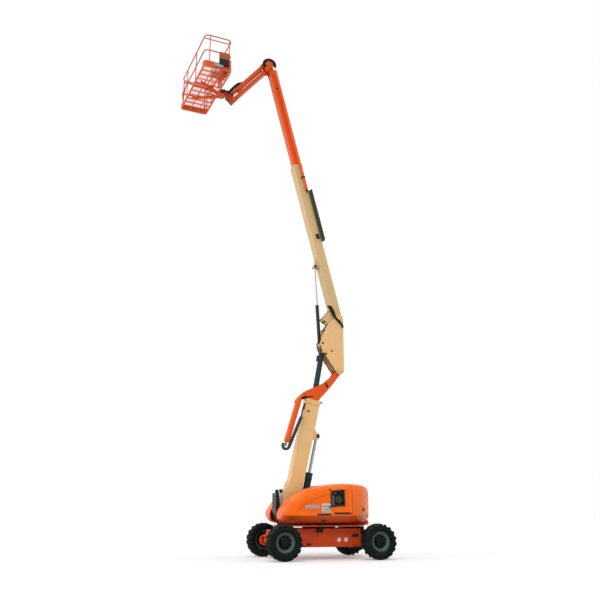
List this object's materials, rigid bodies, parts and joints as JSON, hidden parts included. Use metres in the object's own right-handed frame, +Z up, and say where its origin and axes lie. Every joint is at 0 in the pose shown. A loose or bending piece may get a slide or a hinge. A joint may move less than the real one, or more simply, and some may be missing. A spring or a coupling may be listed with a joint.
{
  "type": "articulating boom lift",
  "caption": "Self-propelled articulating boom lift: wheeled chassis, slewing turntable, telescopic tower, upright, telescopic main boom, jib and railed platform.",
  "frame": {"origin": "ground plane under the slew axis", "axes": "+X forward towards the platform, +Y to the machine's left, +Z up"},
  "size_m": [5.6172, 2.5593, 14.32],
  "materials": {
    "orange_paint": "satin",
    "frame_paint": "satin",
    "boom_paint": "satin",
    "cylinder_paint": "satin",
    "rod_chrome": "polished",
    "dark_steel": "matte",
    "black_plastic": "matte",
    "carrier_plastic": "matte",
    "tyre_rubber": "matte",
    "rim_paint": "satin"
  },
  "bodies": {
    "chassis": {"chassis_frame": "frame_paint", "swing_bearing": "dark_steel", "front_axle": "frame_paint", "rear_axle": "frame_paint"},
    "knuckle_left": {"knuckle_left": "frame_paint"},
    "knuckle_right": {"knuckle_right": "frame_paint"},
    "track_rod": {"track_rod": "dark_steel"},
    "wheel_front_left": {"tyre_front_left": "tyre_rubber", "rim_front_left": "rim_paint"},
    "wheel_front_right": {"tyre_front_right": "tyre_rubber", "rim_front_right": "rim_paint"},
    "wheel_rear_left": {"tyre_rear_left": "tyre_rubber", "rim_rear_left": "rim_paint"},
    "wheel_rear_right": {"tyre_rear_right": "tyre_rubber", "rim_rear_right": "rim_paint"},
    "turntable": {"turntable_frame": "frame_paint", "counterweight": "orange_paint", "engine_block": "dark_steel", "ground_panel": "black_plastic", "front_guard": "black_plastic"},
    "hood_left": {"hood_left": "orange_paint"},
    "hood_right": {"hood_right": "orange_paint"},
    "tower_base": {"tower_base": "boom_paint"},
    "tower_fly": {"tower_fly": "orange_paint"},
    "tower_carrier": {"tower_carrier": "carrier_plastic"},
    "tower_lift_barrel": {"tower_lift_barrel": "cylinder_paint"},
    "tower_lift_rod": {"tower_lift_rod": "rod_chrome"},
    "upright": {"upright": "boom_paint"},
    "level_barrel": {"level_barrel": "cylinder_paint"},
    "level_rod": {"level_rod": "rod_chrome"},
    "main_lift_barrel": {"main_lift_barrel": "cylinder_paint"},
    "main_lift_rod": {"main_lift_rod": "rod_chrome"},
    "main_boom_base": {"main_boom_base": "boom_paint"},
    "main_fly": {"main_fly": "orange_paint"},
    "main_carrier": {"main_carrier": "carrier_plastic"},
    "level_bracket": {"level_bracket": "orange_paint"},
    "jib_beam": {"jib_beam": "orange_paint"},
    "jib_link": {"jib_link": "orange_paint"},
    "jib_lift_barrel": {"jib_lift_barrel": "cylinder_paint"},
    "jib_lift_rod": {"jib_lift_rod": "rod_chrome"},
    "platform_bracket": {"platform_bracket": "orange_paint"},
    "platform": {"platform_floor": "orange_paint", "platform_rails": "orange_paint", "platform_console": "black_plastic"},
    "gate": {"platform_gate": "orange_paint"}
  },
  "joints": [
    {"name": "swing", "type": "hinge", "parent": "chassis", "child": "turntable", "pos_m": [0, 0, 0.8], "axis": [0, 0, 1], "continuous": true},
    {"name": "spin_front_left", "type": "hinge", "parent": "knuckle_left", "child": "wheel_front_left", "pos_m": [1.22, 1.045, 0.43], "axis": [0, 1, 0], "continuous": true},
    {"name": "spin_front_right", "type": "hinge", "parent": "knuckle_right", "child": "wheel_front_right", "pos_m": [1.22, -1.045, 0.43], "axis": [0, 1, 0], "continuous": true},
    {"name": "spin_rear_left", "type": "hinge", "parent": "chassis", "child": "wheel_rear_left", "pos_m": [-1.22, 1.045, 0.43], "axis": [0, 1, 0], "continuous": true},
    {"name": "spin_rear_right", "type": "hinge", "parent": "chassis", "child": "wheel_rear_right", "pos_m": [-1.22, -1.045, 0.43], "axis": [0, 1, 0], "continuous": true},
    {"name": "steer_left", "type": "hinge", "parent": "chassis", "child": "knuckle_left", "pos_m": [1.22, 0.8, 0.43], "axis": [0, 0, 1], "range_deg": [-35, 35]},
    {"name": "steer_right", "type": "hinge", "parent": "chassis", "child": "knuckle_right", "pos_m": [1.22, -0.8, 0.43], "axis": [0, 0, 1], "range_deg": [-35, 35]},
    {"name": "track_rod_slide", "type": "slide", "parent": "chassis", "child": "track_rod", "axis": [0, 1, 0], "range_m": [-0.14, 0.14]},
    {"name": "hood_left_lid", "type": "hinge", "parent": "turntable", "child": "hood_left", "pos_m": [-0.36, 0.33, 1.775], "axis": [1, 0, 0], "range_deg": [0, 60]},
    {"name": "hood_right_lid", "type": "hinge", "parent": "turntable", "child": "hood_right", "pos_m": [-0.36, -0.33, 1.775], "axis": [-1, 0, 0], "range_deg": [0, 60]},
    {"name": "tower_lift", "type": "hinge", "parent": "turntable", "child": "tower_base", "pos_m": [0.84, 0, 1.3], "axis": [0, 1, 0], "range_deg": [-77.5, 0]},
    {"name": "tower_lift_cylinder", "type": "hinge", "parent": "turntable", "child": "tower_lift_barrel", "pos_m": [0.5, 0, 0.94], "axis": [0, 1, 0], "range_deg": [-82, 1]},
    {"name": "tower_lift_stroke", "type": "slide", "parent": "tower_lift_barrel", "child": "tower_lift_rod", "axis": [-0.2076, 0, 0.9782], "range_m": [-0.66, 0.01]},
    {"name": "tower_telescope", "type": "slide", "parent": "tower_base", "child": "tower_fly", "axis": [-0.2164, 0, 0.9763], "range_m": [0, 1.8]},
    {"name": "tower_carrier_travel", "type": "slide", "parent": "tower_base", "child": "tower_carrier", "axis": [-0.2164, 0, 0.9763], "range_m": [0, 0.91]},
    {"name": "upright_level", "type": "hinge", "parent": "tower_fly", "child": "upright", "pos_m": [-0.57, 0, 4.84], "axis": [0, 1, 0], "range_deg": [0, 78]},
    {"name": "level_cylinder", "type": "hinge", "parent": "upright", "child": "level_barrel", "pos_m": [-0.12, 0, 5.36], "axis": [0, 1, 0], "range_deg": [-80, 1]},
    {"name": "level_stroke", "type": "slide", "parent": "level_barrel", "child": "level_rod", "axis": [0.1786, 0, -0.9839], "range_m": [-0.9, 0.01]},
    {"name": "main_lift", "type": "hinge", "parent": "upright", "child": "main_boom_base", "pos_m": [-0.56, 0, 6.31], "axis": [0, -1, 0], "range_deg": [-74, 0]},
    {"name": "main_lift_cylinder", "type": "hinge", "parent": "upright", "child": "main_lift_barrel", "pos_m": [-0.06, 0, 5.54], "axis": [0, -1, 0], "range_deg": [-62, 1]},
    {"name": "main_lift_stroke", "type": "slide", "parent": "main_lift_barrel", "child": "main_lift_rod", "axis": [0.0564, 0, 0.9984], "range_m": [-1.05, 0.01]},
    {"name": "main_telescope", "type": "slide", "parent": "main_boom_base", "child": "main_fly", "axis": [0.2504, 0, 0.9681], "range_m": [-3, 0.35]},
    {"name": "main_carrier_travel", "type": "slide", "parent": "main_boom_base", "child": "main_carrier", "axis": [0.2504, 0, 0.9681], "range_m": [-1.51, 0.18]},
    {"name": "fly_level", "type": "hinge", "parent": "main_fly", "child": "level_bracket", "pos_m": [1.52, 0, 14.12], "axis": [0, -1, 0], "range_deg": [0, 74.5]},
    {"name": "jib_lift", "type": "hinge", "parent": "level_bracket", "child": "jib_beam", "pos_m": [1.58, 0, 13.98], "axis": [0, -1, 0], "range_deg": [-10, 116]},
    {"name": "jib_link_swing", "type": "hinge", "parent": "level_bracket", "child": "jib_link", "pos_m": [1.58, 0, 14.245], "axis": [0, -1, 0], "range_deg": [-10.5, 116.5]},
    {"name": "jib_lift_cylinder", "type": "hinge", "parent": "level_bracket", "child": "jib_lift_barrel", "pos_m": [1.58, 0, 14.245], "axis": [0, -1, 0], "range_deg": [-11.3, 120.44]},
    {"name": "jib_lift_stroke", "type": "slide", "parent": "jib_lift_barrel", "child": "jib_lift_rod", "axis": [0.6289, 0, -0.7775], "range_m": [-0.4545, 0.0483]},
    {"name": "platform_level", "type": "hinge", "parent": "jib_beam", "child": "platform_bracket", "pos_m": [2.61698, 0, 12.73538], "axis": [0, -1, 0], "range_deg": [-116.5, 10.5]},
    {"name": "platform_turn", "type": "hinge", "parent": "platform_bracket", "child": "platform", "pos_m": [2.93, 0, 12.8], "axis": [0, 0, 1], "range_deg": [-97, 83]},
    {"name": "gate_swing", "type": "hinge", "parent": "platform", "child": "gate", "pos_m": [3.23785, -1.19438, 13.4], "axis": [0, 0, 1], "range_deg": [0, 90]}
  ],
  "couplings": [
    {"joint": "steer_right", "follows": "steer_left", "ratio": 1},
    {"joint": "track_rod_slide", "follows": "steer_left", "m_per_rad": -0.225},
    {"joint": "tower_lift_cylinder", "follows": "tower_lift", "ratio": 1.0211},
    {"joint": "tower_lift_stroke", "follows": "tower_lift", "m_per_rad": 0.45664},
    {"joint": "tower_carrier_travel", "follows": "tower_telescope", "ratio": 0.5},
    {"joint": "upright_level", "follows": "tower_lift", "ratio": -1},
    {"joint": "level_cylinder", "follows": "tower_lift", "ratio": 0.9992},
    {"joint": "level_stroke", "follows": "tower_lift", "m_per_rad": 0.63644},
    {"joint": "main_lift_cylinder", "follows": "main_lift", "ratio": 0.806},
    {"joint": "main_lift_stroke", "follows": "main_lift", "m_per_rad": 0.78814},
    {"joint": "main_carrier_travel", "follows": "main_telescope", "ratio": 0.5},
    {"joint": "fly_level", "follows": "main_lift", "ratio": -1},
    {"joint": "jib_link_swing", "follows": "jib_lift", "ratio": 1},
    {"joint": "jib_lift_cylinder", "follows": "jib_lift", "ratio": 1.0296},
    {"joint": "jib_lift_stroke", "follows": "jib_lift", "m_per_rad": -0.21956},
    {"joint": "platform_level", "follows": "jib_lift", "ratio": -1}
  ]
}
